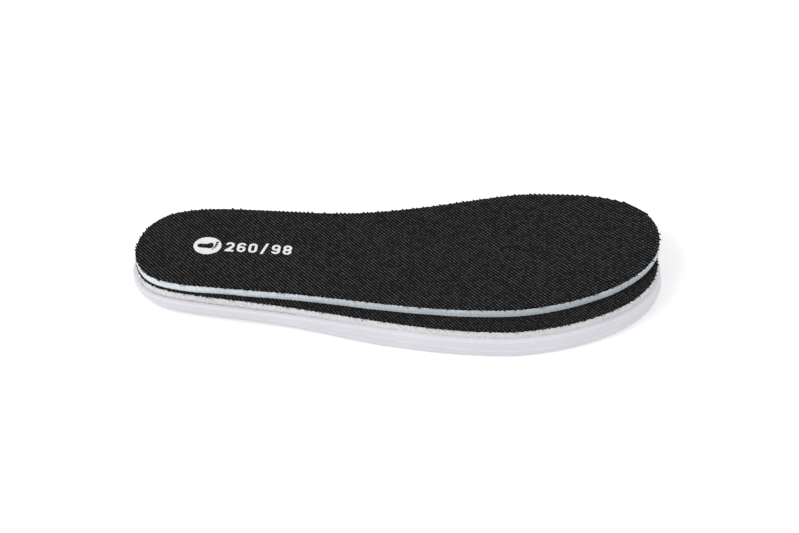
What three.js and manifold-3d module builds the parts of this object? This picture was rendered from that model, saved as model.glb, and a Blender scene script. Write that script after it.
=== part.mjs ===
// Cushioned insole for a right shoe: a thick footbed of moulded base, foam and knit cover, with a thin
// loose liner insole of foam and the same knit lying on it, turned a little at the heel.
// Millimetres. +X runs from heel to toe, +Y to the arch side of the foot, +Z up. The origin is on the
// underside, halfway along the footbed.

import * as THREE from 'three';
import Module from 'manifold-3d';
import { mergeVertices } from 'three/addons/utils/BufferGeometryUtils.js';

// ---- driving dimensions ------------------------------------------------------------------------

// The die outline that both insoles are cut to, one station per line, counter-clockwise from above:
// x, y, the heading of the edge in degrees, and how far its curve reaches on each side of the station.
const OUTLINE_STATIONS = [
  { at: 'heel back', x: -129.5, y: 7, heading: -75, reach: 10 },
  { at: 'lateral heel', x: -101.5, y: -15.5, heading: -13, reach: 24 },
  { at: 'lateral waist', x: -27.5, y: -32.5, heading: -15, reach: 41 },
  { at: 'lateral ball', x: 48.5, y: -46.5, heading: -3, reach: 22 },
  { at: 'toe tip', x: 130.5, y: 6, heading: 85, reach: 40 },
  { at: 'medial ball', x: 70.5, y: 46, heading: 172, reach: 14 },
  { at: 'arch waist', x: -28.5, y: 37.5, heading: 174, reach: 35 },
  { at: 'medial heel', x: -105, y: 45.5, heading: 188, reach: 22 },
];
const OUTLINE_POINTS = 96;
// The liner is cut to the outline, and the footbed to the same shape, slightly shorter.
const FOOTBED_LENGTH_SHARE = 0.991;

const BASE_HEIGHT = 9.8;
const FOOTBED_FOAM = 4;
const LINER_FOAM = 4;
const COVER = 0.8;
const BOND_FILM = 0.1;
const PRINT = 0.12;

// How far the base's wall stands out of the die outline, at the heel and at the forefoot, per height.
const BASE_WALL = [
  { z: 0, heel: -3.6, fore: 0.9 },
  { z: 0.7, heel: -2.5, fore: 1.8 },
  { z: 2.8, heel: -0.5, fore: 2.1 },
  { z: 5.6, heel: 1.6, fore: 2 },
  { z: 8.3, heel: 2.2, fore: 1.7 },
  { z: 9.3, heel: 1.6, fore: 1.2 },
  { z: BASE_HEIGHT, heel: 0.3, fore: 0.3 },
];
// The parting ridge runs round the forefoot, climbs along the waist and dies out before the heel.
const RIDGE_OUT = 0.7;
const RIDGE_HALF_HEIGHT = 0.5;
const RIDGE_FORE_Z = 3.8;
const RIDGE_CLIMB = 3;
const WALL_CHANGE = { from: -75, to: -5 };

// Flex grooves across the underside of the forefoot, square to the toe-flex line.
const GROOVE_COUNT = 5;
const GROOVE_PITCH = 14;
const GROOVE_WIDTH = 2;
const GROOVE_DEPTH = 0.8;
const GROOVE_FIRST_X = 26;
const GROOVE_TURN = 14;
const GROOVE_MARGIN = 8;

// How the liner lies on the footbed.
const LINER_TURN = 3.7;
const LINER_PIVOT = { x: -112.6, y: 29.3 };

// The white heel print, in the liner's own outline frame.
const BADGE = { x: -94.5, y: 15.2, radius: 7 };
const SIZE_TEXT = '260/98';
const SIZE_START = { x: -86.2, y: 10.1, turn: -10 };
const DIGIT = { width: 4.4, height: 7.4, bowl: 4.8, stroke: 1.4, pitch: 5.75 };

const CURVE_STEPS = 12;

const wasm = await Module();
wasm.setup();

// ---- shared geometry ---------------------------------------------------------------------------

const degrees = (angle) => (angle * Math.PI) / 180;

function smoothStep(from, to, value) {
  const share = Math.min(Math.max((value - from) / (to - from), 0), 1);
  return share * share * (3 - 2 * share);
}

function toSolid(geometry) {
  const plain = geometry.clone();
  plain.deleteAttribute('normal');
  plain.deleteAttribute('uv');
  const merged = mergeVertices(plain, 1e-4);
  return new wasm.Manifold(
    new wasm.Mesh({
      numProp: 3,
      vertProperties: new Float32Array(merged.attributes.position.array),
      triVerts: new Uint32Array(merged.index.array),
    }),
  );
}

function toGeometry(solid) {
  const mesh = solid.getMesh();
  const geometry = new THREE.BufferGeometry();
  geometry.setAttribute('position', new THREE.BufferAttribute(mesh.vertProperties, 3));
  geometry.setIndex(new THREE.BufferAttribute(mesh.triVerts, 1));
  return geometry;
}

// The die outline as evenly spaced points, counter-clockwise.
function dieOutline() {
  const path = new THREE.CurvePath();
  const along = (station, distance) =>
    new THREE.Vector2(
      station.x + distance * Math.cos(degrees(station.heading)),
      station.y + distance * Math.sin(degrees(station.heading)),
    );
  OUTLINE_STATIONS.forEach((station, index) => {
    const next = OUTLINE_STATIONS[(index + 1) % OUTLINE_STATIONS.length];
    path.add(
      new THREE.CubicBezierCurve(
        along(station, 0),
        along(station, station.reach),
        along(next, -next.reach),
        along(next, 0),
      ),
    );
  });
  return path.getSpacedPoints(OUTLINE_POINTS).slice(0, OUTLINE_POINTS);
}

// The unit vector that points out of the outline at each of its points.
function outwardNormals(outline) {
  return outline.map((_, index) => {
    const before = outline[(index + outline.length - 1) % outline.length];
    const after = outline[(index + 1) % outline.length];
    const along = after.clone().sub(before).normalize();
    return new THREE.Vector2(along.y, -along.x);
  });
}

// A closed body through rings of equal point count, listed from the lowest to the highest.
function loftRings(rings) {
  const count = rings[0].length;
  const positions = rings.flat().flatMap((point) => [point.x, point.y, point.z]);
  const faces = [];
  for (let ring = 0; ring < rings.length - 1; ring += 1) {
    for (let index = 0; index < count; index += 1) {
      const a = ring * count + index;
      const b = ring * count + ((index + 1) % count);
      faces.push(a, b, b + count, a, b + count, a + count);
    }
  }
  const bottomCap = THREE.ShapeUtils.triangulateShape(rings[0], []);
  const topCap = THREE.ShapeUtils.triangulateShape(rings.at(-1), []);
  const topStart = (rings.length - 1) * count;
  bottomCap.forEach(([a, b, c]) => faces.push(a, c, b));
  topCap.forEach(([a, b, c]) => faces.push(topStart + a, topStart + b, topStart + c));
  const geometry = new THREE.BufferGeometry();
  geometry.setAttribute('position', new THREE.Float32BufferAttribute(positions, 3));
  geometry.setIndex(faces);
  return geometry;
}

const ringAt = (outline, z) => outline.map((point) => new THREE.Vector3(point.x, point.y, z));

// A flat layer cut to the outline.
const dieCutLayer = (outline, bottom, thickness) =>
  loftRings([ringAt(outline, bottom), ringAt(outline, bottom + thickness)]);

// A flat shape raised to the print's thickness, for joins and cuts.
const raised = (shape) =>
  toSolid(
    new THREE.ExtrudeGeometry(shape, { depth: PRINT, bevelEnabled: false, curveSegments: CURVE_STEPS }),
  );

function namedMesh(name, geometry, color, roughness) {
  const material = new THREE.MeshStandardMaterial({ color, roughness, metalness: 0 });
  const mesh = new THREE.Mesh(geometry, material);
  mesh.name = name;
  return mesh;
}

// ---- footbed -----------------------------------------------------------------------------------

// Where the wall stands at a height: the heel's profile eases into the forefoot's along the waist.
function wallOut(level, x) {
  const fore = smoothStep(WALL_CHANGE.from, WALL_CHANGE.to, x);
  return level.heel + (level.fore - level.heel) * fore;
}

// The wall between two of the listed heights.
function wallOutAt(z, x) {
  const above = BASE_WALL.findIndex((level) => level.z >= z);
  const low = BASE_WALL[above - 1];
  const high = BASE_WALL[above];
  const share = (z - low.z) / (high.z - low.z);
  return wallOut(low, x) * (1 - share) + wallOut(high, x) * share;
}

function baseRings(outline, normals) {
  const ring = (height, out) =>
    outline.map((point, index) => {
      const z = height(point.x);
      const place = point.clone().addScaledVector(normals[index], out(z, point.x));
      return new THREE.Vector3(place.x, place.y, z);
    });
  const listed = BASE_WALL.map((level) => ring(() => level.z, (z, x) => wallOut(level, x)));
  const ridgeZ = (x) => RIDGE_FORE_Z + RIDGE_CLIMB * (1 - smoothStep(-60, 70, x));
  const ridgeOut = (x) => RIDGE_OUT * smoothStep(-68, -30, x);
  const ridge = [-RIDGE_HALF_HEIGHT, 0, RIDGE_HALF_HEIGHT].map((offset) =>
    ring((x) => ridgeZ(x) + offset, (z, x) => wallOutAt(z, x) + (offset === 0 ? ridgeOut(x) : 0)),
  );
  // The ridge takes the place of the listed level that it crosses.
  return [...listed.slice(0, 3), ...ridge, ...listed.slice(4)];
}

// The grooves as long bars that stop short of the wall.
function flexGrooves(outline, normals) {
  const inside = outline.map((point, index) => point.clone().addScaledVector(normals[index], -GROOVE_MARGIN));
  const field = toSolid(dieCutLayer(inside, -1, 1 + GROOVE_DEPTH));
  const bars = Array.from({ length: GROOVE_COUNT }, (_, index) => {
    const bar = new THREE.BoxGeometry(GROOVE_WIDTH, 120, 2 * GROOVE_DEPTH);
    bar.rotateZ(degrees(GROOVE_TURN));
    bar.translate(GROOVE_FIRST_X + index * GROOVE_PITCH, 0, 0);
    return toSolid(bar);
  });
  return bars.reduce((all, bar) => all.add(bar)).intersect(field);
}

function mouldedBase(outline, normals) {
  const body = toSolid(loftRings(baseRings(outline, normals)));
  return toGeometry(body.subtract(flexGrooves(outline, normals)));
}

function footbedMeshes(outline, normals) {
  const foamBottom = BASE_HEIGHT + BOND_FILM;
  const filmBottom = foamBottom + FOOTBED_FOAM;
  const coverBottom = filmBottom + BOND_FILM;
  return [
    namedMesh('moulded_base', mouldedBase(outline, normals), 0xdedce4, 0.55),
    namedMesh('base_bond_film', dieCutLayer(outline, BASE_HEIGHT, BOND_FILM), 0xb9b6b4, 0.5),
    namedMesh('footbed_foam', dieCutLayer(outline, foamBottom, FOOTBED_FOAM), 0xd2d0d2, 0.95),
    namedMesh('footbed_bond_film', dieCutLayer(outline, filmBottom, BOND_FILM), 0x8c8a88, 0.5),
    namedMesh('footbed_cover', dieCutLayer(outline, coverBottom, COVER), 0x232323, 0.9),
  ];
}

// ---- liner -------------------------------------------------------------------------------------

// The die outline turned about the heel to where the liner lies.
function linerPlace(point) {
  const pivot = new THREE.Vector2(LINER_PIVOT.x, LINER_PIVOT.y);
  return point.clone().rotateAround(pivot, degrees(LINER_TURN));
}

// A white disc with a bare footprint left clear in it: a sole and five toes.
function heelBadge() {
  const badge = new THREE.Shape();
  badge.absarc(0, 0, BADGE.radius, 0, 2 * Math.PI);
  const sole = new THREE.Path();
  sole.moveTo(-5, 0);
  sole.bezierCurveTo(-5, -2.5, -1.9, -1.7, 0, -2);
  sole.bezierCurveTo(1.4, -2.3, 3, -2.2, 3, 0.1);
  sole.bezierCurveTo(3, 2.9, 1.2, 2.9, 0, 1.6);
  sole.bezierCurveTo(-1.2, 0.9, -5, 2.4, -5, 0);
  badge.holes.push(sole);
  const toes = 5;
  for (let toe = 0; toe < toes; toe += 1) {
    const share = toe / (toes - 1);
    const hole = new THREE.Path();
    const across = 2.9 - 5.6 * share ** 0.9;
    hole.absarc(4.5 - 1.5 * share * share, across, 0.78 - 0.3 * share, 0, 2 * Math.PI);
    badge.holes.push(hole);
  }
  return raised(badge);
}

// A ring with round ends, standing on y = bottom and centred over the digit's width.
function digitRing(bottom, height) {
  const loop = (path, inset) => {
    const radius = DIGIT.width / 2 - inset;
    const low = bottom + inset + radius;
    const high = bottom + height - inset - radius;
    path.absarc(DIGIT.width / 2, high, radius, 0, Math.PI);
    path.absarc(DIGIT.width / 2, low, radius, Math.PI, 2 * Math.PI);
    path.closePath();
    return path;
  };
  const shape = loop(new THREE.Shape(), 0);
  shape.holes.push(loop(new THREE.Path(), DIGIT.stroke));
  return raised(shape);
}

const polygon = (points) => raised(new THREE.Shape(points.map(([x, y]) => new THREE.Vector2(x, y))));

const block = (x0, y0, x1, y1) =>
  polygon([
    [x0, y0],
    [x1, y0],
    [x1, y1],
    [x0, y1],
  ]);

// The digits and the stroke that the size code needs, each in a box of DIGIT.width by DIGIT.height.
function glyph(character) {
  const { width, height, bowl, stroke } = DIGIT;
  const turned = (solid) => solid.rotate([0, 0, 180]).translate([width, height, 0]);
  if (character === '0') {
    return digitRing(0, height);
  }
  if (character === '8') {
    const half = (height + stroke) / 2 + 0.1;
    return digitRing(0, half).add(digitRing(height - half, half));
  }
  if (character === '6') {
    const hook = digitRing(0, height).subtract(block(width / 2, bowl / 2, width + 1, height * 0.74));
    return hook.add(digitRing(0, bowl));
  }
  if (character === '9') {
    return turned(glyph('6'));
  }
  if (character === '2') {
    const bow = height - width / 2;
    const top = digitRing(0, height).subtract(block(-1, -1, width / 2, bow));
    const arc = top.subtract(block(-1, -1, width + 1, bow - 0.8));
    const slope = polygon([
      [0, 0],
      [stroke * 1.4, 0],
      [width, bow - 0.8],
      [width - stroke, bow - 0.6],
      [0, stroke * 0.8],
    ]);
    return arc.add(slope).add(block(0, 0, width, stroke));
  }
  return polygon([
    [0.4, -0.6],
    [0.4 + stroke, -0.6],
    [width - 0.4, height + 0.6],
    [width - 0.4 - stroke, height + 0.6],
  ]);
}

function placePrint(solid, x, y, turn, bottom) {
  const corner = linerPlace(new THREE.Vector2(x, y));
  return toGeometry(solid.rotate([0, 0, turn + LINER_TURN]).translate([corner.x, corner.y, bottom]));
}

function heelPrint(bottom) {
  const badge = placePrint(heelBadge(), BADGE.x, BADGE.y, SIZE_START.turn, bottom);
  const along = degrees(SIZE_START.turn);
  const digits = [...SIZE_TEXT].map((character, index) => {
    const step = index * DIGIT.pitch;
    const x = SIZE_START.x + step * Math.cos(along);
    const y = SIZE_START.y + step * Math.sin(along);
    const geometry = placePrint(glyph(character), x, y, SIZE_START.turn, bottom);
    return namedMesh(`size_print_${index + 1}`, geometry, 0xececec, 0.7);
  });
  return [namedMesh('heel_badge_print', badge, 0xececec, 0.7), ...digits];
}

function linerMeshes(outline) {
  const foamBottom = BASE_HEIGHT + 2 * BOND_FILM + FOOTBED_FOAM + COVER;
  const filmBottom = foamBottom + LINER_FOAM;
  const coverBottom = filmBottom + BOND_FILM;
  const laid = outline.map(linerPlace);
  return [
    namedMesh('liner_foam', dieCutLayer(laid, foamBottom, LINER_FOAM), 0xc3cacf, 0.95),
    namedMesh('liner_bond_film', dieCutLayer(laid, filmBottom, BOND_FILM), 0x8c8a88, 0.5),
    namedMesh('liner_cover', dieCutLayer(laid, coverBottom, COVER), 0x232323, 0.9),
    ...heelPrint(coverBottom + COVER),
  ];
}

// ---- the whole insole --------------------------------------------------------------------------

function cushionedInsole() {
  const outline = dieOutline();
  const shorter = outline.map((point) => new THREE.Vector2(point.x * FOOTBED_LENGTH_SHARE, point.y));
  const footbed = new THREE.Group();
  footbed.add(...footbedMeshes(shorter, outwardNormals(shorter)));
  const liner = new THREE.Group();
  liner.add(...linerMeshes(outline));
  const insole = new THREE.Group();
  insole.add(footbed, liner);
  return insole;
}

export default cushionedInsole();
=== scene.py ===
import math

import bmesh
import bpy
import numpy as np
from mathutils import Matrix, Vector
from mathutils.bvhtree import BVHTree


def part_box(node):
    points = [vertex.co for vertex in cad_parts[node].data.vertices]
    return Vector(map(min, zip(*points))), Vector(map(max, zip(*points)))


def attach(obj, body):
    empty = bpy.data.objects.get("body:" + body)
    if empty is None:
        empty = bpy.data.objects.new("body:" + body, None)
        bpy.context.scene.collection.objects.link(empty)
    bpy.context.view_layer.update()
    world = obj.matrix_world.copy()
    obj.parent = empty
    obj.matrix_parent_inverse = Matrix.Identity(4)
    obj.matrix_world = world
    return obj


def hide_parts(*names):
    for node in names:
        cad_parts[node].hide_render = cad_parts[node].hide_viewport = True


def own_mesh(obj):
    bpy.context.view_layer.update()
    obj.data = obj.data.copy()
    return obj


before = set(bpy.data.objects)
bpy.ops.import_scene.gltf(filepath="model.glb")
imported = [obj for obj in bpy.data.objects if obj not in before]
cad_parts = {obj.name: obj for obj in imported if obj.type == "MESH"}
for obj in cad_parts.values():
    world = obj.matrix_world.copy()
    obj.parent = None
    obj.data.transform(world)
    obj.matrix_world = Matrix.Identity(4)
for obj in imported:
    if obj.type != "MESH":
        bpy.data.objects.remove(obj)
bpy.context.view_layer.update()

mm = 0.001


# ---- Moulded base ------------------------------------------------------------------------------
# The bottom slab is off-white EVA foam, pressed hot in a two-part mould, with a smooth satin skin.
# Its top edge is a soft rim that stands out past the foam, and where the mould halves met a parting
# ridge runs round the forefoot, climbs along the waist and dies out before the heel.


TOP_FACE_SLACK = 0.01 * mm


def cut_edge(node):
    """A node's edge, read off its top face: its corner points, counter-clockwise from above."""
    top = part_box(node)[1].z
    corners = {}
    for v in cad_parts[node].data.vertices:
        if v.co.z > top - TOP_FACE_SLACK:
            corners[round(v.co.x / mm, 1), round(v.co.y / mm, 1)] = (v.co.x, v.co.y)
    points = np.array(list(corners.values()))
    across, up = (points - points.mean(0)).T
    return points[np.argsort(np.arctan2(up, across))]


STEPS_PER_SPAN = 20


def smooth_loop(points, count):
    """A closed loop bent smoothly through the points and cut into even steps."""
    before, start, end, after = (np.roll(points, -k, axis=0)[:, None] for k in (-1, 0, 1, 2))
    t = np.linspace(0, 1, STEPS_PER_SPAN, endpoint=False)[None, :, None]
    bent = 2 * start + (end - before) * t
    bent = bent + (2 * before - 5 * start + 4 * end - after) * t**2
    bent = (bent + (3 * start - before - 3 * end + after) * t**3) / 2
    loop = bent.reshape(-1, 2)
    closed = np.vstack([loop, loop[:1]])
    run = np.concatenate([[0], np.cumsum(np.linalg.norm(np.diff(closed, axis=0), axis=1))])
    even = np.linspace(0, run[-1], count, endpoint=False)
    return np.column_stack([np.interp(even, run, closed[:, k]) for k in (0, 1)])


def outward(loop):
    """The unit vector out of the loop at each point."""
    along = np.roll(loop, -1, axis=0) - np.roll(loop, 1, axis=0)
    along /= np.linalg.norm(along, axis=1)[:, None]
    return np.column_stack([along[:, 1], -along[:, 0]])


def eased(value, low, high):
    """0 below the low value, 1 above the high one and a soft step in between."""
    share = np.clip((value - low) / (high - low), 0, 1)
    return share * share * (3 - 2 * share)


def ring_solid(name, rings):
    """A closed piece through rings of equal point count, from the lowest to the highest."""
    count = rings.shape[1]
    index = np.arange(len(rings) * count).reshape(len(rings), count)
    low, high = index[:-1], index[1:]
    turned = [np.roll(row, -1, axis=1) for row in (low, high)]
    walls = np.stack([low, turned[0], turned[1], high], axis=-1).reshape(-1, 4).tolist()
    mesh = bpy.data.meshes.new(name)
    caps = [index[0][::-1].tolist(), index[-1].tolist()]
    mesh.from_pydata(rings.reshape(-1, 3).tolist(), [], walls + caps)
    mesh.shade_smooth()
    for cap in list(mesh.polygons)[-len(caps):]:
        cap.use_smooth = False
    piece = bpy.data.objects.new(name, mesh)
    bpy.context.scene.collection.objects.link(piece)
    return piece


def cut_away(piece, cutter):
    """Takes the cutter's shape out of the piece for good."""
    modifier = piece.modifiers.new("cut", "BOOLEAN")
    modifier.object = cutter
    modifier.operation = "DIFFERENCE"
    modifier.solver = "EXACT"
    depsgraph = bpy.context.evaluated_depsgraph_get()
    mesh = bpy.data.meshes.new_from_object(piece.evaluated_get(depsgraph), depsgraph=depsgraph)
    piece.modifiers.clear()
    piece.data = mesh
    bpy.data.objects.remove(cutter)


def plain_material(name, colour, roughness, specular):
    """A new material with its node tree and shader, the shader's own values already set."""
    material = bpy.data.materials.new(name)
    material.use_nodes = True
    tree = material.node_tree
    shader = tree.nodes["Principled BSDF"]
    shader.inputs["Base Color"].default_value = (*colour, 1)
    shader.inputs["Roughness"].default_value = roughness
    shader.inputs["Specular IOR Level"].default_value = specular
    return material, tree, shader


def grain(tree, size, detail=4.0, roughness=0.55):
    """Cloudy noise on the piece, with lumps of about the given size in metres."""
    place = tree.nodes.new("ShaderNodeTexCoord")
    noise = tree.nodes.new("ShaderNodeTexNoise")
    noise.inputs["Scale"].default_value = 1 / size
    noise.inputs["Detail"].default_value = detail
    noise.inputs["Roughness"].default_value = roughness
    tree.links.new(place.outputs["Object"], noise.inputs["Vector"])
    return noise.outputs["Fac"]


def graded(tree, value, stops):
    """Colours along a value: stops are (place, (r, g, b))."""
    ramp = tree.nodes.new("ShaderNodeValToRGB")
    while len(ramp.color_ramp.elements) < len(stops):
        ramp.color_ramp.elements.new(0.5)
    for element, (at, colour) in zip(ramp.color_ramp.elements, stops):
        element.position = at
        element.color = (*colour, 1)
    tree.links.new(value, ramp.inputs["Fac"])
    return ramp.outputs["Color"]


def multiplied(tree, first, second):
    """One colour times another."""
    mixed = tree.nodes.new("ShaderNodeMix")
    mixed.data_type = "RGBA"
    mixed.blend_type = "MULTIPLY"
    mixed.inputs["Factor"].default_value = 1
    tree.links.new(first, mixed.inputs["A"])
    tree.links.new(second, mixed.inputs["B"])
    return mixed.outputs["Result"]


def raised(tree, shader, height, depth, below=None):
    """Bumps the shader's surface by a height from 0 to 1, depth metres deep, over an earlier bump."""
    bump = tree.nodes.new("ShaderNodeBump")
    bump.inputs["Distance"].default_value = depth
    tree.links.new(height, bump.inputs["Height"])
    if below:
        tree.links.new(below, bump.inputs["Normal"])
    tree.links.new(bump.outputs["Normal"], shader.inputs["Normal"])
    return bump.outputs["Normal"]


FOOTBED_EDGE = cut_edge("footbed_cover")
BASE_COLUMNS = 640

# The wall at the heel and at the forefoot: height, and how far it stands out of the die line, in mm.
# At the forefoot the rim has crept up against the foam; at the heel a joint stays open beside it.
BASE_WALL = (
    (0.0, -8.0, 0.0, -5.0),
    (0.0, -4.0, 0.0, 0.4),
    (0.2, -3.4, 0.2, 1.2),
    (0.7, -2.5, 0.7, 1.8),
    (2.2, -0.9, 2.2, 2.1),
    (3.9, 0.5, 3.9, 2.15),
    (5.6, 1.6, 5.6, 2.1),
    (7.6, 2.25, 7.6, 2.0),
    (8.7, 2.2, 8.8, 1.85),
    (9.3, 1.95, 9.35, 1.5),
    (9.65, 1.5, 9.65, 1.0),
    (9.8, 0.8, 9.85, 0.55),
    (9.8, -0.3, 10.15, 0.1),
    (9.8, -1.0, 10.1, -0.3),
    (9.8, -4.0, 9.8, -4.0),
)
WALL_STEPS = 4
WALL_SMOOTHINGS = 2
WALL_CHANGE = (-75 * mm, -5 * mm)
RIDGE_OUT = 0.55 * mm
RIDGE_STEP = 0.2 * mm
RIDGE_HALF = 0.42 * mm
RIDGE_FADE = (-68 * mm, -30 * mm)
RIDGE_Z = 3.8 * mm
RIDGE_CLIMB = 3.0 * mm
RIDGE_CLIMBS = (-60 * mm, 70 * mm)
UNDERSIDE_TOP = 0.2 * mm
# Painted highlight on the rim's top: how strong it is there, and the heights over which it fades in.
RIM_PAINTED_HIGHLIGHT = 1.3
RIM_HEIGHTS = (8.2 * mm, 9.6 * mm)


def base_rings():
    """The base's wall from the middle of its underside, round the outside, to the middle of its top."""
    levels = np.array(BASE_WALL) * mm
    spans = len(levels) - 1
    at = np.arange(len(levels))
    fine = np.linspace(0, spans, spans * WALL_STEPS + 1)
    heel_z, heel, fore_z, fore = (np.interp(fine, at, column) for column in levels.T)
    for _ in range(WALL_SMOOTHINGS):
        for line in (heel_z, heel, fore_z, fore):
            line[1:-1] = (line[:-2] + 2 * line[1:-1] + line[2:]) / 4
    edge = smooth_loop(FOOTBED_EDGE, BASE_COLUMNS)
    x = edge[:, 0]
    forward = eased(x, *WALL_CHANGE)
    z = heel_z[:, None] * (1 - forward) + fore_z[:, None] * forward
    out = heel[:, None] * (1 - forward) + fore[:, None] * forward
    ridge = RIDGE_Z + RIDGE_CLIMB * (1 - eased(x, *RIDGE_CLIMBS))
    shown = eased(x, *RIDGE_FADE)
    above = (z - ridge) / RIDGE_HALF
    out = out + shown * RIDGE_OUT * np.exp(-(above**2))
    out = out - shown * RIDGE_STEP * (z > UNDERSIDE_TOP) * (1 - eased(above, -1, 1))
    rings = edge[None] + outward(edge)[None] * out[..., None]
    # Painted highlight: a mask for paler colour along the ridge's crest and on the rim's top, where their
    # rounded edges catch the light.
    painted_highlight = shown * np.exp(-(above**2)) + RIM_PAINTED_HIGHLIGHT * eased(z, *RIM_HEIGHTS)
    return np.dstack([rings, z]), painted_highlight


# Five shallow flex grooves cross the underside at the forefoot and stop short of the wall.
GROOVES = 5
GROOVE_FIRST_X = 26 * mm
GROOVE_PITCH = 14 * mm
GROOVE_HALF_WIDTH = 1 * mm
GROOVE_DEPTH = 0.8 * mm
GROOVE_TURN = math.radians(14)
GROOVE_MARGIN = 9 * mm
GROOVE_END_POINTS = 8
GROOVE_CUT_BELOW = 1 * mm
CROSSING_POINTS = 6


def groove_cutter(number):
    """A bar with round ends, as long as the base is wide there."""
    middle = np.array([GROOVE_FIRST_X + number * GROOVE_PITCH, 0])
    along = np.array([-math.sin(GROOVE_TURN), math.cos(GROOVE_TURN)])
    side = np.array([along[1], -along[0]])
    edge = smooth_loop(FOOTBED_EDGE, BASE_COLUMNS) - middle
    beside = edge @ side
    crossings = (edge @ along)[np.abs(beside) < np.sort(np.abs(beside))[CROSSING_POINTS]]
    ends = crossings.max() - GROOVE_MARGIN, crossings.min() + GROOVE_MARGIN
    outline = []
    for end, start in zip(ends, (0, math.pi)):
        for turn in np.linspace(start, start + math.pi, GROOVE_END_POINTS):
            round_end = math.cos(turn) * side + math.sin(turn) * along
            outline.append(middle + along * end + GROOVE_HALF_WIDTH * round_end)
    flat = np.array(outline)
    rings = [np.column_stack([flat, np.full(len(flat), z)]) for z in (-GROOVE_CUT_BELOW, GROOVE_DEPTH)]
    return ring_solid("groove", np.array(rings))


EVA = (0.72, 0.71, 0.76)
EVA_CLOUDS = ((0.3, (0.745, 0.738, 0.79)), (0.7, (0.8, 0.793, 0.845)))
EVA_CLOUD_SIZE = 26 * mm
EVA_DARKER = ((0.0, (0.93, 0.925, 0.925)), (1.0, (1, 1, 1)))
EVA_DARKER_REACH = 110 * mm
# Painted highlight: the skin is a tenth darker everywhere except along the ridge and the rim.
EVA_PAINTED_HIGHLIGHT = ((0.0, (0.9, 0.9, 0.9)), (1.0, (1, 1, 1)))
EVA_ROUGHNESS = ((0.35, (0.36,) * 3), (0.75, (0.52,) * 3))
EVA_ROUGHNESS_SIZE = 1.4 * mm
EVA_DENTS = {"size": 6 * mm, "depth": 0.12 * mm}
EVA_PORES = {"size": 0.5 * mm, "depth": 0.035 * mm}


def eva_skin():
    """Off-white EVA, a little darker towards the heel, with a painted highlight along the parting ridge and
    on the rim.
    """
    material, tree, shader = plain_material("eva_skin", EVA, 0.42, 0.4)
    colour = graded(tree, grain(tree, EVA_CLOUD_SIZE, 3), EVA_CLOUDS)
    place = tree.nodes.new("ShaderNodeTexCoord")
    split = tree.nodes.new("ShaderNodeSeparateXYZ")
    tree.links.new(place.outputs["Object"], split.inputs["Vector"])
    along = tree.nodes.new("ShaderNodeMapRange")
    along.inputs["From Min"].default_value = -EVA_DARKER_REACH
    along.inputs["From Max"].default_value = EVA_DARKER_REACH
    tree.links.new(split.outputs["X"], along.inputs["Value"])
    darker = graded(tree, along.outputs["Result"], EVA_DARKER)
    # The painted highlight mask, stored on the wall's points.
    edges = tree.nodes.new("ShaderNodeAttribute")
    edges.attribute_name = "painted_highlight"
    pale = graded(tree, edges.outputs["Fac"], EVA_PAINTED_HIGHLIGHT)
    painted_light = multiplied(tree, multiplied(tree, colour, darker), pale)
    tree.links.new(painted_light, shader.inputs["Base Color"])
    skin = graded(tree, grain(tree, EVA_ROUGHNESS_SIZE), EVA_ROUGHNESS)
    tree.links.new(skin, shader.inputs["Roughness"])
    below = raised(tree, shader, grain(tree, EVA_DENTS["size"], 2), EVA_DENTS["depth"])
    raised(tree, shader, grain(tree, EVA_PORES["size"]), EVA_PORES["depth"], below)
    shader.inputs["Subsurface Weight"].default_value = 0.12
    shader.inputs["Subsurface Radius"].default_value = (1, 0.9, 0.9)
    shader.inputs["Subsurface Scale"].default_value = 1.5 * mm
    return material


base_shape, painted_highlight = base_rings()
base = ring_solid("eva_base", base_shape)
base.data.attributes.new("painted_highlight", "FLOAT", "POINT").data.foreach_set("value", painted_highlight.ravel())
for number in range(GROOVES):
    cut_away(base, groove_cutter(number))
base.data.materials.append(eva_skin())
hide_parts("moulded_base")
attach(base, "footbed")


# ---- Glue under the footbed foam ---------------------------------------------------------------
# A hot-melt film holds the foam to the base. It was squeezed when the two were pressed together, so
# its edge wanders: in places it stays back under the foam, which leaves a thin dark line there.

# About how far it is round an insole, in metres. It turns the lengths of bumps into waves per lap.
LOOP_LENGTH = 0.62


def ripple(count, shortest, longest, size, seed):
    """A smooth random wave round a loop, with bumps between two lengths and of about one size."""
    random = np.random.default_rng(seed)
    turn = np.linspace(0, 2 * math.pi, count, endpoint=False)
    numbers = np.arange(round(LOOP_LENGTH / longest), round(LOOP_LENGTH / shortest))
    waves = [random.normal() * np.cos(n * turn + random.uniform(0, 2 * math.pi)) for n in numbers]
    wave = np.sum(waves, axis=0)
    return size * wave / wave.std()


def edge_rings(edge, levels, wander=None):
    """Rings that follow the edge. Levels are (height, how far out of the edge, share of the wander)."""
    normals = outward(edge)
    wander = np.zeros(len(edge)) if wander is None else wander
    rings = []
    for z, out, share in levels:
        place = edge + normals * (out + share * wander)[:, None]
        rings.append(np.column_stack([place, np.full(len(edge), z)]))
    return np.array(rings)


GLUE_COLOUR = (0.5, 0.49, 0.47)
GLUE_STREAKS = ((0.35, (0.3, 0.29, 0.28)), (0.7, (0.58, 0.57, 0.55)))


def glue_film():
    """Dried hot-melt glue, slightly glossy, with darker streaks in it."""
    material, tree, shader = plain_material("glue_film", GLUE_COLOUR, 0.35, 0.5)
    streaks = graded(tree, grain(tree, 2 * mm), GLUE_STREAKS)
    tree.links.new(streaks, shader.inputs["Base Color"])
    raised(tree, shader, grain(tree, 0.6 * mm), 0.04 * mm)
    return material


FILM_COLUMNS = 700
FILM_BUMPS = (3 * mm, 30 * mm)
FILM_WANDER = 0.16 * mm
FILM_BACK = 0.08 * mm
FILM_HEEL_BACK = 0.2 * mm

# Behind this stretch the glue joint stays open at the edge, and in front of it the joint is closed.
JOINT_CLOSES = (-50 * mm, -10 * mm)
GLUE = glue_film()


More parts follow.
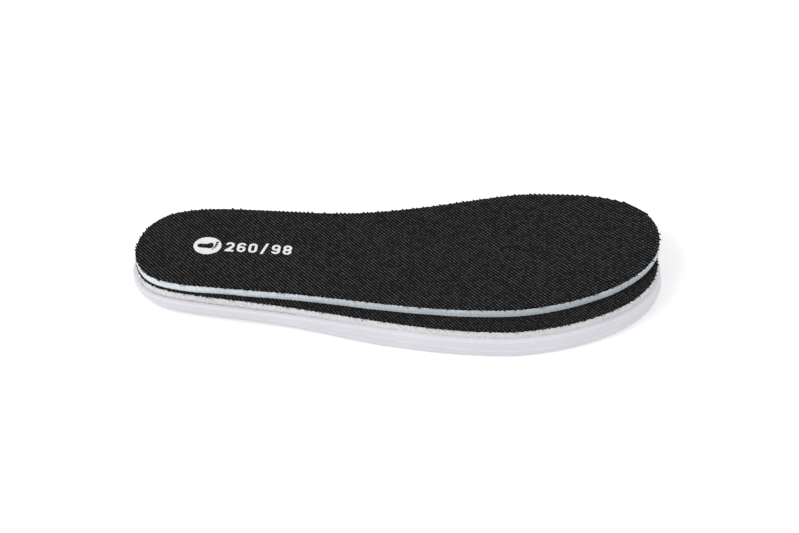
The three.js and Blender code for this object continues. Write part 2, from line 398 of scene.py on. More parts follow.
def film_piece(node, body, edge_corners, seed):
    """The film between two layers, its edge pushed in and out by the press."""
    low, high = (corner.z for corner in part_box(node))
    edge = smooth_loop(edge_corners, FILM_COLUMNS)
    wander = ripple(FILM_COLUMNS, *FILM_BUMPS, FILM_WANDER, seed)
    back = -FILM_BACK + (wander - FILM_HEEL_BACK) * (1 - eased(edge[:, 0], *JOINT_CLOSES))
    piece = ring_solid(f"{node}_squeezed", edge_rings(edge, ((low, 0, 1), (high, 0, 1)), back))
    piece.data.materials.append(GLUE)
    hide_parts(node)
    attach(piece, body)
    return piece


film_piece("base_bond_film", "footbed", FOOTBED_EDGE, 11)


# ---- Footbed foam ------------------------------------------------------------------------------
# Light grey foam sheet with fine specks of regrind in it, die cut in one stroke with the cover. The
# cut wall shows its open cells, bulges a little at half height and is nipped in at both edges.

FOAM_COLUMNS = 1240

# How rough the cut is: bumps along it are (shortest, longest, size), and caps start an inset inside it.
FOAM_CELLS = (1.1 * mm, 5 * mm, 0.06 * mm)
FOAM_SWAY = (20 * mm, 90 * mm, 0.1 * mm)
FOAM_PIT = 0.035 * mm
FOAM_BULGE = 0.12 * mm
FOAM_NIP = 0.25 * mm
FOAM_NIP_SHARE = 0.09
FOAM_TIGHT = 0.22 * mm
CAP_INSET = 6 * mm
RINGS_WITHOUT_PITS = 3


def foam_wall(low, high, bulge, nip, cut):
    """The levels of a cut foam wall between two heights: height, out of the edge, share of the cut."""
    thick = high - low
    nipped = FOAM_NIP_SHARE * thick
    levels = [(low, -CAP_INSET, 0), (low, -nip - 0.2 * mm, 0.3), (low + 0.02 * mm, -nip, 0.6)]
    for share in np.linspace(0, 1, 8):
        z = low + nipped + share * (thick - 2 * nipped)
        levels.append((z, bulge * math.sin(math.pi * share) - 0.15 * nip, cut))
    levels += [(high - 0.02 * mm, -nip, 0.6), (high, -nip - 0.2 * mm, 0.3), (high, -CAP_INSET, 0)]
    return levels


def foam_piece(node, body, edge_corners, seed, material):
    """A foam layer with a rough cut wall, its nip at the bottom edge pushed out where the glue joint is
    closed.
    """
    low, high = (corner.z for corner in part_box(node))
    edge = smooth_loop(edge_corners, FOAM_COLUMNS)
    cells = ripple(FOAM_COLUMNS, *FOAM_CELLS, seed)
    sway = ripple(FOAM_COLUMNS, *FOAM_SWAY, seed + 1)
    rings = edge_rings(edge, foam_wall(low, high, FOAM_BULGE, FOAM_NIP, 1.0), cells + sway)
    tight = FOAM_TIGHT * eased(edge[:, 0], *JOINT_CLOSES)
    rings[1:4, :, :2] += outward(edge)[None] * tight[None, :, None]
    pits = np.random.default_rng(seed + 2).normal(0, FOAM_PIT, rings.shape[:2])
    pits[:RINGS_WITHOUT_PITS] = 0
    pits[-RINGS_WITHOUT_PITS:] = 0
    rings[..., :2] += outward(edge)[None] * pits[..., None]
    piece = ring_solid(f"{node}_cut", rings)
    piece.data.materials.append(material)
    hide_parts(node)
    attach(piece, body)
    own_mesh(piece)
    return piece


FOAM_MOTTLE_SIZE = 1.0 * mm
FOAM_CELL_SIZE = 0.9 * mm
FOAM_GRAIN_SIZE = 0.35 * mm
FOAM_GRAIN_DEPTH = 0.12 * mm
FOAM_CELL_DEPTH = 0.1 * mm


def cut_foam(name, dark, light, speck):
    """Open-celled cut foam: a mottled colour, small pits and a few specks."""
    material, tree, shader = plain_material(name, light, 0.95, 0.15)
    mottle = graded(tree, grain(tree, FOAM_MOTTLE_SIZE, 6, 0.75), ((0.4, dark), (0.56, light)))
    cells = tree.nodes.new("ShaderNodeTexVoronoi")
    cells.inputs["Scale"].default_value = 1 / FOAM_CELL_SIZE
    place = tree.nodes.new("ShaderNodeTexCoord")
    tree.links.new(place.outputs["Object"], cells.inputs["Vector"])
    specks = graded(tree, cells.outputs["Distance"], ((0.1, speck), (0.17, (1, 1, 1))))
    tree.links.new(multiplied(tree, mottle, specks), shader.inputs["Base Color"])
    below = raised(tree, shader, grain(tree, FOAM_GRAIN_SIZE, 5, 0.65), FOAM_GRAIN_DEPTH)
    raised(tree, shader, cells.outputs["Distance"], FOAM_CELL_DEPTH, below)
    return material


GREY_DARK = (0.57, 0.562, 0.575)
GREY_LIGHT = (0.755, 0.743, 0.76)
GREY_SPECK = (0.5, 0.49, 0.5)

speckled_foam = cut_foam("speckled_foam", GREY_DARK, GREY_LIGHT, GREY_SPECK)
footbed_foam = foam_piece("footbed_foam", "footbed", FOOTBED_EDGE, 21, speckled_foam)
film_piece("footbed_bond_film", "footbed_top", FOOTBED_EDGE, 31)


# ---- Footbed cover -----------------------------------------------------------------------------
# Black polyester knit, glued to the foam before both were die cut. Its ground is a thin dark sheet,
# and ribs of fat stitches run across it on the diagonal. The cut leaves short loose threads.

GROUND_SHARE = 0.5
COURSES = 180
WALES = 220
COVER_COLUMNS = 1240
COURSE = 2.108 * mm
WALE = 1.191 * mm
STITCH_LENGTH = 2.08 * mm
STITCH_WIDTH = 1.06 * mm
STITCH_STATIONS = ((-0.2, 0.97), (0.2, 0.97))
STITCH_SUNK = 0.06 * mm
STITCH_CREST = 0.36
STITCH_TIP = 0.1
COVER_THICK = 0.8 * mm


def stitch_shape():
    """One fat stitch, lying along X on the ground, with its crest marked by how high it stands, which
    paints shade down its sides.
    """
    height = (1 - GROUND_SHARE) * COVER_THICK
    points = [(-STITCH_LENGTH / 2, 0, STITCH_TIP * height)]
    crests = [0.0]
    for along, full in STITCH_STATIONS:
        half = full * STITCH_WIDTH / 2
        top = full * height
        x = along * STITCH_LENGTH
        points += [(x, -half, -STITCH_SUNK), (x, half, -STITCH_SUNK)]
        points += [(x, STITCH_CREST * half, top), (x, -STITCH_CREST * half, top)]
        crests += [0.0, 0.0, full**2, full**2]
    points.append((STITCH_LENGTH / 2, 0, STITCH_TIP * height))
    crests.append(0.0)
    last = len(points) - 1
    faces = []
    for side in range(4):
        turn = (side + 1) % 4
        faces.append((0, 1 + turn, 1 + side))
        faces.append((1 + side, 1 + turn, 5 + turn, 5 + side))
        faces.append((5 + side, 5 + turn, last))
    mesh = bpy.data.meshes.new("stitch")
    mesh.from_pydata(points, [], faces)
    mesh.attributes.new("crest", "FLOAT", "POINT").data.foreach_set("value", crests)
    return bpy.data.objects.new("stitch", mesh)


def input_socket(tree, name, kind, value=None):
    socket = tree.interface.new_socket(name, in_out="INPUT", socket_type=kind)
    if value is not None:
        socket.default_value = value
    return socket


def node_maker(tree):
    """Adds a node, sets its properties and fills its inputs with links or plain values."""

    def add(kind, inputs=(), **properties):
        node = tree.nodes.new(kind)
        for key, value in properties.items():
            setattr(node, key, value)
        for key, value in dict(inputs).items():
            if isinstance(value, bpy.types.NodeSocket):
                tree.links.new(value, node.inputs[key])
            else:
                node.inputs[key].default_value = value
        return node

    return add


# How far single stitches stray from the pattern, as (least, most): radians, then shares of their size.
STITCH_TWIST = (-0.07, 0.07)
STITCH_ROLL = (-0.12, 0.12)
STITCH_PITCH = (-0.06, 0.06)
STITCH_LONG = (0.95, 1.08)
STITCH_WIDE = (0.9, 1.08)
STITCH_TALL = (0.88, 1.0)
GRID_ABOVE = 0.05


def knit_tree():
    """Stitches on a staggered grid, bent and stretched with the cloth and kept where there is cloth."""
    tree = bpy.data.node_groups.new("knit_ribs", "GeometryNodeTree")
    input_socket(tree, "Cloth", "NodeSocketGeometry")
    input_socket(tree, "Stitch", "NodeSocketObject")
    input_socket(tree, "Yarn", "NodeSocketMaterial")
    input_socket(tree, "Course", "NodeSocketFloat", COURSE)
    input_socket(tree, "Wale", "NodeSocketFloat", WALE)
    input_socket(tree, "Turn", "NodeSocketFloat", 0.0)
    input_socket(tree, "Bend", "NodeSocketFloat", 0.0)
    input_socket(tree, "Stretch", "NodeSocketFloat", 0.0)
    input_socket(tree, "Seed", "NodeSocketInt", 1)
    tree.interface.new_socket("Ribs", in_out="OUTPUT", socket_type="NodeSocketGeometry")
    add = node_maker(tree)
    given = add("NodeGroupInput").outputs

    def calculate(operation, first, second):
        return add("ShaderNodeMath", {0: first, 1: second}, operation=operation).outputs[0]

    def pick(low, high, seed):
        chosen = calculate("ADD", given["Seed"], seed)
        node = add("FunctionNodeRandomValue", {"Seed": chosen}, data_type="FLOAT")
        node.inputs[2].default_value, node.inputs[3].default_value = low, high
        return node.outputs[1]

    index = add("GeometryNodeInputIndex").outputs[0]
    row = calculate("MODULO", index, float(WALES))
    column = calculate("FLOOR", calculate("DIVIDE", index, float(WALES)), 0.0)
    stagger = calculate("MULTIPLY", calculate("MODULO", row, 2.0), 0.5)
    place = calculate("ADD", calculate("SUBTRACT", column, COURSES / 2), stagger)
    slack = calculate("MULTIPLY", place, given["Course"])
    ahead = calculate("MAXIMUM", slack, 0.0)
    spread = calculate("MULTIPLY", calculate("MULTIPLY", ahead, ahead), given["Stretch"])
    u = calculate("ADD", slack, calculate("DIVIDE", calculate("MULTIPLY", ahead, spread), 3.0))
    v = calculate("MULTIPLY", calculate("SUBTRACT", row, WALES / 2), given["Wale"])
    swing = calculate("MULTIPLY", given["Bend"], u)
    x = calculate("SUBTRACT", u, calculate("MULTIPLY", swing, v))
    y = calculate("ADD", v, calculate("MULTIPLY", calculate("MULTIPLY", swing, u), 0.5))
    flat = add("ShaderNodeCombineXYZ", {"X": x, "Y": y, "Z": GRID_ABOVE}).outputs[0]
    turned = add("ShaderNodeVectorRotate", {"Vector": flat, "Angle": given["Turn"]}, rotation_type="Z_AXIS")
    grid = add("GeometryNodeMeshGrid", {"Vertices X": COURSES, "Vertices Y": WALES})
    known = grid.outputs["Mesh"]
    for name, value in (("spread", spread), ("swing", swing)):
        known = add(
            "GeometryNodeStoreNamedAttribute",
            {"Geometry": known, "Name": name, "Value": value},
            data_type="FLOAT",
            domain="POINT",
        ).outputs[0]
    laid = add("GeometryNodeSetPosition", {"Geometry": known, "Position": turned.outputs[0]})
    position = add("GeometryNodeInputPosition").outputs[0]
    ray = {"Target Geometry": given["Cloth"], "Source Position": position, "Ray Direction": (0, 0, -1)}
    found = add("GeometryNodeRaycast", {**ray, "Ray Length": 1.0})
    missed = add("FunctionNodeBooleanMath", {0: found.outputs["Is Hit"]}, operation="NOT").outputs[0]
    marked = add(
        "GeometryNodeStoreNamedAttribute",
        {"Geometry": laid.outputs[0], "Name": "gone", "Value": missed},
        data_type="BOOLEAN",
        domain="POINT",
    )
    dropped = add(
        "GeometryNodeSetPosition",
        {
            "Geometry": marked.outputs[0],
            "Position": found.outputs["Hit Position"],
            "Selection": found.outputs["Is Hit"],
        },
    )
    gone = add("GeometryNodeInputNamedAttribute", {"Name": "gone"}, data_type="BOOLEAN").outputs[0]
    kept = add(
        "GeometryNodeDeleteGeometry", {"Geometry": dropped.outputs[0], "Selection": gone}, domain="POINT"
    )
    stitch = add("GeometryNodeObjectInfo", {"Object": given["Stitch"]}, transform_space="ORIGINAL")

    def read(name):
        return add("GeometryNodeInputNamedAttribute", {"Name": name}, data_type="FLOAT").outputs[0]

    longer = calculate("ADD", read("spread"), 1.0)
    half_course = calculate("MULTIPLY", calculate("MULTIPLY", given["Course"], 0.5), longer)
    rib = calculate("SUBTRACT", given["Turn"], calculate("ARCTAN2", given["Wale"], half_course))
    twist = calculate("ADD", calculate("ADD", rib, read("swing")), pick(*STITCH_TWIST, 1))
    grown_by = calculate("SQRT", longer, 0.0)
    scale = calculate("MULTIPLY", calculate("DIVIDE", given["Course"], COURSE), grown_by)
    tilt = {"X": pick(*STITCH_ROLL, 2), "Y": pick(*STITCH_PITCH, 3), "Z": twist}
    size = {
        "X": calculate("MULTIPLY", pick(*STITCH_LONG, 4), scale),
        "Y": calculate("MULTIPLY", pick(*STITCH_WIDE, 5), scale),
        "Z": pick(*STITCH_TALL, 6),
    }
    placed = add(
        "GeometryNodeInstanceOnPoints",
        {
            "Points": kept.outputs[0],
            "Instance": stitch.outputs["Geometry"],
            "Rotation": add("ShaderNodeCombineXYZ", tilt).outputs[0],
            "Scale": add("ShaderNodeCombineXYZ", size).outputs[0],
        },
    )
    toned = add(
        "GeometryNodeStoreNamedAttribute",
        {"Geometry": placed.outputs[0], "Name": "tone", "Value": pick(0.0, 1.0, 7)},
        data_type="FLOAT",
        domain="INSTANCE",
    )
    solid = add("GeometryNodeRealizeInstances", {"Geometry": toned.outputs[0]})
    smooth = add("GeometryNodeSetShadeSmooth", {"Geometry": solid.outputs[0]})
    dyed = add("GeometryNodeSetMaterial", {"Geometry": smooth.outputs[0], "Material": given["Yarn"]})
    add("NodeGroupOutput", {"Ribs": dyed.outputs[0]})
    return tree


def grown(host, tree, name, settings):
    """What a node tree makes on the host, as a plain piece of its own."""
    modifier = host.modifiers.new("grow", "NODES")
    modifier.node_group = tree
    for socket in tree.interface.items_tree:
        if socket.in_out == "INPUT" and socket.name in settings:
            modifier[socket.identifier] = settings[socket.name]
    depsgraph = bpy.context.evaluated_depsgraph_get()
    mesh = bpy.data.meshes.new_from_object(
        host.evaluated_get(depsgraph), preserve_all_data_layers=True, depsgraph=depsgraph
    )
    host.modifiers.clear()
    piece = bpy.data.objects.new(name, mesh)
    bpy.context.scene.collection.objects.link(piece)
    return piece


# Fibres look stretched out this way, which is within about 10 degrees of the ribs on both covers.
FIBRE_TURN = math.radians(-48.5)
FIBRE_STRETCH = (5, 1, 1)
FIBRE_SIZE = 0.16 * mm
FIBRE_DEPTH = 0.11 * mm
FUZZ_SIZE = 0.14 * mm
FUZZ_DEPTH = 0.03 * mm
YARN_TONES = ((0.0, (0.025, 0.025, 0.026)), (1.0, (0.09, 0.09, 0.089)))
# Painted shade: a stitch's colour drops to 8 percent down its sides and at its tips, and stays near full on
# its crest.
YARN_PAINTED_SHADE = ((0.0, (0.08, 0.08, 0.08)), (1.0, (1, 1, 1)))


def black_yarn():
    """Black polyester, fuzzed: stitches differ in tone, with painted shade down their sides and at their
    tips, so their crests stay paler.
    """
    material, tree, shader = plain_material("black_yarn", (0.03, 0.03, 0.03), 0.7, 0.08)
    tone = tree.nodes.new("ShaderNodeAttribute")
    tone.attribute_name = "tone"
    crest = tree.nodes.new("ShaderNodeAttribute")
    crest.attribute_name = "crest"
    lit = graded(tree, tone.outputs["Fac"], YARN_TONES)
    # Painted shade down the stitch sides, from the crest mark.
    painted_light = graded(tree, crest.outputs["Fac"], YARN_PAINTED_SHADE)
    tree.links.new(multiplied(tree, lit, painted_light), shader.inputs["Base Color"])
    along = tree.nodes.new("ShaderNodeMapping")
    along.vector_type = "TEXTURE"
    along.inputs["Rotation"].default_value = (0, 0, FIBRE_TURN)
    along.inputs["Scale"].default_value = FIBRE_STRETCH
    fibres = tree.nodes.new("ShaderNodeTexNoise")
    fibres.inputs["Scale"].default_value = 1 / FIBRE_SIZE
    fibres.inputs["Detail"].default_value = 3
    place = tree.nodes.new("ShaderNodeTexCoord")
    tree.links.new(place.outputs["Object"], along.inputs["Vector"])
    tree.links.new(along.outputs["Vector"], fibres.inputs["Vector"])
    below = raised(tree, shader, fibres.outputs["Fac"], FIBRE_DEPTH)
    raised(tree, shader, grain(tree, FUZZ_SIZE, 2), FUZZ_DEPTH, below)
    shader.inputs["Sheen Weight"].default_value = 0.05
    shader.inputs["Sheen Roughness"].default_value = 0.5
    return material


def knit_ground():
    """The cloth between the ribs: black, and painted darker than the yarn for the shade the ribs cast on
    it.
    """
    material, tree, shader = plain_material("knit_ground", (0.004, 0.004, 0.0042), 0.95, 0.06)
    raised(tree, shader, grain(tree, 0.3 * mm, 3), 0.08 * mm)
    return material


THREAD_LENGTH = 1.9 * mm
THREAD_THICK = 0.13 * mm
THREAD_SIDES = 4
THREAD_STATIONS = 5
THREAD_CURL = 0.12
THREAD_CURL_TURN = 2.6
THREAD_DROOP = 0.45
THREAD_TAPER = 0.5


def thread_shape():
    """A short loose thread that starts at the origin, runs out along X and droops."""
    length, sides, stations = THREAD_LENGTH, THREAD_SIDES, THREAD_STATIONS
    points, faces = [], []
    for station in range(stations):
        share = station / (stations - 1)
        curl = THREAD_CURL * length * math.sin(THREAD_CURL_TURN * share)
        centre = Vector((length * share, curl, -THREAD_DROOP * length * share**2))
        slim = THREAD_THICK * (1 - THREAD_TAPER * share)
        for side in range(sides):
            turn = 2 * math.pi * side / sides
            points.append(centre + Vector((0, slim * math.cos(turn), slim * math.sin(turn))))
    for start in range(0, sides * (stations - 1), sides):
        for side in range(sides):
            turn = (side + 1) % sides
            faces.append((start + side, start + turn, start + turn + sides, start + side + sides))
    faces.append(tuple(range(sides))[::-1])
    faces.append(tuple(range(sides * (stations - 1), sides * stations)))
    mesh = bpy.data.meshes.new("thread")
    mesh.from_pydata(points, [], faces)
    return bpy.data.objects.new("thread", mesh)


THREAD_SWAY = ((-0.9, -0.9, -0.5), (0.9, 0.9, 0.25))
THREAD_SIZES = (0.3, 0.95)


def fray_tree():
    """Loose threads along a cut edge: each points outwards, more or less, with its own length."""
    tree = bpy.data.node_groups.new("loose_threads", "GeometryNodeTree")
    input_socket(tree, "Edge", "NodeSocketGeometry")
    input_socket(tree, "Thread", "NodeSocketObject")
    input_socket(tree, "Yarn", "NodeSocketMaterial")
    input_socket(tree, "Seed", "NodeSocketInt", 1)
    tree.interface.new_socket("Threads", in_out="OUTPUT", socket_type="NodeSocketGeometry")
    add = node_maker(tree)
    given = add("NodeGroupInput").outputs

    def pick(kind, low, high, seed):
        chosen = add("ShaderNodeMath", {0: given["Seed"], 1: seed}, operation="ADD").outputs[0]
        node = add("FunctionNodeRandomValue", {"Seed": chosen}, data_type=kind)
        first = 0 if kind == "FLOAT_VECTOR" else 2
        node.inputs[first].default_value, node.inputs[first + 1].default_value = low, high
        return node.outputs[0 if kind == "FLOAT_VECTOR" else 1]

    out = add("GeometryNodeInputNamedAttribute", {"Name": "outward"}, data_type="FLOAT_VECTOR").outputs[0]
    sway = pick("FLOAT_VECTOR", *THREAD_SWAY, 1)
    astray = add("ShaderNodeVectorMath", {0: out, 1: sway})
    facing = add("FunctionNodeAlignRotationToVector", {"Vector": astray.outputs[0]}, axis="X")
    loose = add("GeometryNodeInputNamedAttribute", {"Name": "loose"}, data_type="FLOAT").outputs[0]
    chance = add("FunctionNodeCompare", {0: pick("FLOAT", 0.0, 1.0, 2), 1: loose}, operation="LESS_THAN")
    thread = add("GeometryNodeObjectInfo", {"Object": given["Thread"]}, transform_space="ORIGINAL")
    placed = add(
        "GeometryNodeInstanceOnPoints",
        {
            "Points": given["Edge"],
            "Selection": chance.outputs[0],
            "Instance": thread.outputs["Geometry"],
            "Rotation": facing.outputs[0],
            "Scale": pick("FLOAT", *THREAD_SIZES, 3),
        },
    )
    toned = add(
        "GeometryNodeStoreNamedAttribute",
        {"Geometry": placed.outputs[0], "Name": "tone", "Value": pick("FLOAT", 0.0, 1.0, 4)},
        data_type="FLOAT",
        domain="INSTANCE",
    )
    solid = add("GeometryNodeRealizeInstances", {"Geometry": toned.outputs[0]})
    smooth = add("GeometryNodeSetShadeSmooth", {"Geometry": solid.outputs[0]})
    dyed = add("GeometryNodeSetMaterial", {"Geometry": smooth.outputs[0], "Material": given["Yarn"]})
    add("NodeGroupOutput", {"Threads": dyed.outputs[0]})
    return tree


def edge_points(name, edge, z):
    """Bare points along an edge, each of which knows which way is out."""
    mesh = bpy.data.meshes.new(name)
    mesh.from_pydata([(x, y, z) for x, y in edge], [], [])
    ways = mesh.attributes.new("outward", "FLOAT_VECTOR", "POINT")
    ways.data.foreach_set("vector", np.column_stack([outward(edge), np.zeros(len(edge))]).ravel())
    host = bpy.data.objects.new(name, mesh)
    bpy.context.scene.collection.objects.link(host)
    return host


YARN = black_yarn()
GROUND = knit_ground()
STITCH = stitch_shape()
THREAD = thread_shape()
KNIT = knit_tree()
FRAY = fray_tree()


# The cut cloth: nicks are (shortest, longest, size), and near is how far an edge faces the lateral side.
# The chances of a loose thread at a point add up, and tufts gather the threads in clumps.
CLOTH_NICKS = (1.5 * mm, 6 * mm, 0.1 * mm)
CLOTH_NEAR = (-0.2, 0.5)
CLOTH_NEAR_NICKS = 1.2
CLOTH_DROP = 0.22 * mm
CLOTH_BULGE = 0.12 * mm
THREAD_ROOT_IN = 0.25 * mm
THREAD_ROOT_BELOW = 0.1 * mm
TUFT_LENGTHS = (5 * mm, 30 * mm)
TUFT_RANGE = (-0.6, 1.4)
HEEL_RANGE = (-80 * mm, 0)
THREADS_ANYWHERE = 0.04
THREADS_NEAR = 0.5
THREADS_AT_HEEL = 0.45


def cover_pieces(node, body, edge_corners, knit, seed):
    """The cover's dark ground as a sheet of cloth, with its ribs and its frayed edge.

    The fraying is heaviest along the lateral side, and on that side it grows towards the heel."""
    low, high = (corner.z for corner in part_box(node))
    ground_top = low + GROUND_SHARE * (high - low)
    edge = smooth_loop(edge_corners, COVER_COLUMNS)
    near = eased(-outward(edge)[:, 1], *CLOTH_NEAR)
    nicks = ripple(COVER_COLUMNS, *CLOTH_NICKS, seed) * (1 + CLOTH_NEAR_NICKS * near)
    middle = (low + ground_top) / 2
    levels = (
        (low, -CAP_INSET, 0),
        (low, -0.05 * mm, 0.8),
        (middle - CLOTH_DROP / 2, CLOTH_BULGE, 1),
        (ground_top - CLOTH_DROP, 0, 1),
        (ground_top - CLOTH_DROP / 3, -0.8 * mm, 0),
        (ground_top, -2.4 * mm, 0),
        (ground_top, -CAP_INSET, 0),
    )
    cloth = ring_solid(f"{node}_ground", edge_rings(edge, levels, nicks))
    cloth.data.materials.append(GROUND)
    ribs = grown(cloth, KNIT, f"{node}_ribs", {"Stitch": STITCH, "Yarn": YARN, "Seed": seed, **knit})
    roots = edge + outward(edge) * (nicks - THREAD_ROOT_IN)[:, None]
    host = edge_points("edge", roots, ground_top - THREAD_ROOT_BELOW)
    loose = host.data.attributes.new("loose", "FLOAT", "POINT")
    heelward = 1 - eased(edge[:, 0], *HEEL_RANGE)
    tufts = eased(ripple(COVER_COLUMNS, *TUFT_LENGTHS, 1.0, seed + 2), *TUFT_RANGE)
    chance = THREADS_ANYWHERE + (THREADS_NEAR + THREADS_AT_HEEL * heelward) * near * tufts
    loose.data.foreach_set("value", chance)
    # The threads carry no crest mark, so the yarn's painted shade darkens them all over.
    threads = grown(host, FRAY, f"{node}_fray", {"Thread": THREAD, "Yarn": YARN, "Seed": seed})
    bpy.data.objects.remove(host)
    for piece in (cloth, ribs, threads):
        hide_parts(node)
        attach(piece, body)
    return cloth, ribs


# The footbed's cloth lies skewed and bends along its length, and its stitches are the tighter ones.
FOOTBED_KNIT = {
    "Course": 0.9 * COURSE,
    "Wale": 0.9 * WALE,
    "Turn": math.radians(-10.2),
    "Bend": 1.4,
    "Stretch": 8.0,
}
cover_pieces("footbed_cover", "footbed_top", FOOTBED_EDGE, FOOTBED_KNIT, 41)


# ---- Liner -------------------------------------------------------------------------------------
# A thin insole of pale blue-grey foam under the same knit, cut with the same die. It lies loose on
# the footbed, turned a little about the heel, and can be lifted out and washed.

LINER_EDGE = cut_edge("liner_cover")

BLUE_DARK = (0.6, 0.648, 0.688)
BLUE_LIGHT = (0.755, 0.81, 0.852)
BLUE_SPECK = (0.8, 0.8, 0.8)

blue_grey_foam = cut_foam("blue_grey_foam", BLUE_DARK, BLUE_LIGHT, BLUE_SPECK)
liner_foam = foam_piece("liner_foam", "liner", LINER_EDGE, 51, blue_grey_foam)
film_piece("liner_bond_film", "liner_top", LINER_EDGE, 61)

# The liner's cloth lies straighter, and was pulled lengthwise towards the toe as it was glued.
LINER_KNIT = {
    "Course": 0.985 * COURSE,
    "Wale": 0.985 * WALE,
    "Turn": math.radians(-3.6),
    "Bend": 0.0,
    "Stretch": 29.0,
}
liner_cloth, liner_ribs = cover_pieces(
    "liner_cover", "liner_top", LINER_EDGE, LINER_KNIT, 71
)


# ---- Heel print --------------------------------------------------------------------------------
# White ink, screen printed on the liner's knit: a round badge with a bare footprint left clear, and
# the size in millimetres. The ink is a thin skin that follows the ribs and sags between them.

INK_STEP = 0.14 * mm
INK_SKIN = 0.09 * mm
INK_SAG = 0.2 * mm
INK_SMOOTHING = (True, False, False)
INK_THIN = (0.3, (0.66, 0.66, 0.67))
INK_FULL = (0.55, (0.88, 0.88, 0.89))
RAY_START = 5 * mm


def print_ink():
    """White ink that has gone on thinner in places."""
    material, tree, shader = plain_material("print_ink", (0.86, 0.86, 0.87), 0.6, 0.3)
    patches = graded(tree, grain(tree, 0.8 * mm, 5, 0.7), (INK_THIN, INK_FULL))
    tree.links.new(patches, shader.inputs["Base Color"])
    raised(tree, shader, grain(tree, 0.25 * mm), 0.04 * mm)
    return material


def surface_tree(*pieces):
    """The outer surface of several pieces, for finding how high it stands."""
    points, faces = [], []
    for piece in pieces:
        start = len(points)
        points += [tuple(v.co) for v in piece.data.vertices]
        faces += [tuple(start + i for i in p.vertices) for p in piece.data.polygons]
    return BVHTree.FromPolygons(points, faces)


def height_at(tree, x, y, above):
    """How high a surface stands at a place, or None beside it."""
    hit = tree.ray_cast(Vector((x, y, above)), Vector((0, 0, -1)))[0]
    return None if hit is None else hit.z


def ink_piece(node, cloth, ink):
    """The printed shape as a fine skin of ink, dropped onto the ribs."""
    low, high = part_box(node)
    shape = surface_tree(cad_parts[node])
    above = high.z + RAY_START
    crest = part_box("liner_cover")[1].z
    columns = math.ceil((high.x - low.x) / INK_STEP)
    rows = math.ceil((high.y - low.y) / INK_STEP)
    corners, skin = {}, bmesh.new()

    def corner(i, j):
        if (i, j) not in corners:
            x, y = low.x + i * INK_STEP, low.y + j * INK_STEP
            found = height_at(cloth, x, y, above) or crest
            corners[i, j] = skin.verts.new((x, y, max(found, crest - INK_SAG) + INK_SKIN))
        return corners[i, j]

    for i in range(columns):
        for j in range(rows):
            x, y = low.x + (i + 0.5) * INK_STEP, low.y + (j + 0.5) * INK_STEP
            if height_at(shape, x, y, above) is not None:
                skin.faces.new([corner(i, j), corner(i + 1, j), corner(i + 1, j + 1), corner(i, j + 1)])
    for sideways in INK_SMOOTHING:
        bmesh.ops.smooth_vert(
            skin, verts=skin.verts, factor=0.5, use_axis_x=sideways, use_axis_y=sideways, use_axis_z=True
        )
    mesh = bpy.data.meshes.new(f"{node}_ink")
    skin.to_mesh(mesh)
    skin.free()
    mesh.shade_smooth()
    piece = bpy.data.objects.new(f"{node}_ink", mesh)
    bpy.context.scene.collection.objects.link(piece)
    thicken = piece.modifiers.new("thicken", "SOLIDIFY")
    thicken.thickness = INK_SKIN
    thicken.offset = -1
    depsgraph = bpy.context.evaluated_depsgraph_get()
    piece.data = bpy.data.meshes.new_from_object(piece.evaluated_get(depsgraph), depsgraph=depsgraph)
    piece.modifiers.clear()
    piece.data.materials.append(ink)
    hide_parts(node)
    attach(piece, "liner_top")


ink = print_ink()
knit_surface = surface_tree(liner_cloth, liner_ribs)
for node in sorted(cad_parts):
    if "print" in node:
        ink_piece(node, knit_surface, ink)


# ---- Floor, light and camera -------------------------------------------------------------------
# The insole lies on a plain white sheet, lit faintly from below, under a wide soft lamp from the upper
# left, with white walls all round. The camera looks down at it from the lateral side.

FLOOR_HALF = 6.0
FLOOR_GLOW = 0.22
FLOOR_GAP = 0.02 * mm
LAMP_PLACE = (-1.1, -0.5, 1.3)
LAMP_SIZE = 0.9
LAMP_POWER = 9.0
WALLS_LIGHT = 0.8
WALLS_SEEN = 1.0
CAMERA_AZIMUTH = math.radians(-0.87)
CAMERA_ELEVATION = math.radians(38)
CAMERA_DISTANCE = 1.0947
CAMERA_TARGET = Vector((1.6 * mm, 10.9 * mm, 9.6 * mm))
CAMERA_LENS = 99.1
CAMERA_SENSOR = 36
CAMERA_CLIP = (0.05, 50)


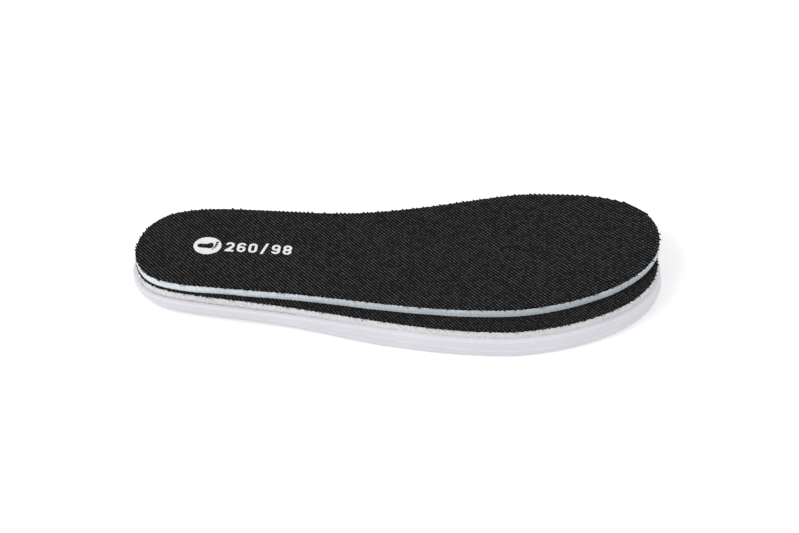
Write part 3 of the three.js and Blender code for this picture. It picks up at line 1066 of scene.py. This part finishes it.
def white_floor():
    mesh = bpy.data.meshes.new("floor")
    corners = [(-1, -1), (1, -1), (1, 1), (-1, 1)]
    mesh.from_pydata([(x * FLOOR_HALF, y * FLOOR_HALF, 0) for x, y in corners], [], [(0, 1, 2, 3)])
    floor = bpy.data.objects.new("floor", mesh)
    floor.location.z = -FLOOR_GAP
    bpy.context.scene.collection.objects.link(floor)
    material, tree, shader = plain_material("white_sheet", (0.93, 0.93, 0.93), 0.9, 0.0)
    shader.inputs["Emission Color"].default_value = (1, 1, 1, 1)
    shader.inputs["Emission Strength"].default_value = FLOOR_GLOW
    floor.data.materials.append(material)


def soft_lamp(name, place, size, power):
    light = bpy.data.lights.new(name, "AREA")
    light.shape = "DISK"
    light.size = size
    light.energy = power
    lamp = bpy.data.objects.new(name, light)
    lamp.location = place
    lamp.rotation_mode = "QUATERNION"
    lamp.rotation_quaternion = (-Vector(place)).to_track_quat("-Z", "Y")
    bpy.context.scene.collection.objects.link(lamp)


def white_room():
    """White walls: full white to the camera, a little less as light."""
    world = bpy.data.worlds.new("white_room")
    world.use_nodes = True
    tree = world.node_tree
    tree.nodes["Background"].inputs["Color"].default_value = (1, 1, 1, 1)
    seen = tree.nodes.new("ShaderNodeLightPath")
    strength = tree.nodes.new("ShaderNodeMapRange")
    strength.inputs["To Min"].default_value = WALLS_LIGHT
    strength.inputs["To Max"].default_value = WALLS_SEEN
    tree.links.new(seen.outputs["Is Camera Ray"], strength.inputs["Value"])
    tree.links.new(strength.outputs["Result"], tree.nodes["Background"].inputs["Strength"])
    bpy.context.scene.world = world


def camera():
    data = bpy.data.cameras.new("camera")
    data.lens = CAMERA_LENS
    data.sensor_width = CAMERA_SENSOR
    data.clip_start, data.clip_end = CAMERA_CLIP
    level = math.cos(CAMERA_ELEVATION)
    sideways = math.sin(CAMERA_AZIMUTH) * level
    back = Vector((sideways, -math.cos(CAMERA_AZIMUTH) * level, math.sin(CAMERA_ELEVATION)))
    eye = bpy.data.objects.new("camera", data)
    eye.location = CAMERA_TARGET + back * CAMERA_DISTANCE
    eye.rotation_mode = "QUATERNION"
    eye.rotation_quaternion = (-back).to_track_quat("-Z", "Y")
    bpy.context.scene.collection.objects.link(eye)
    bpy.context.scene.camera = eye


white_floor()
white_room()
soft_lamp("upper_left", LAMP_PLACE, LAMP_SIZE, LAMP_POWER)
camera()
bpy.context.scene.view_settings.view_transform = "Standard"
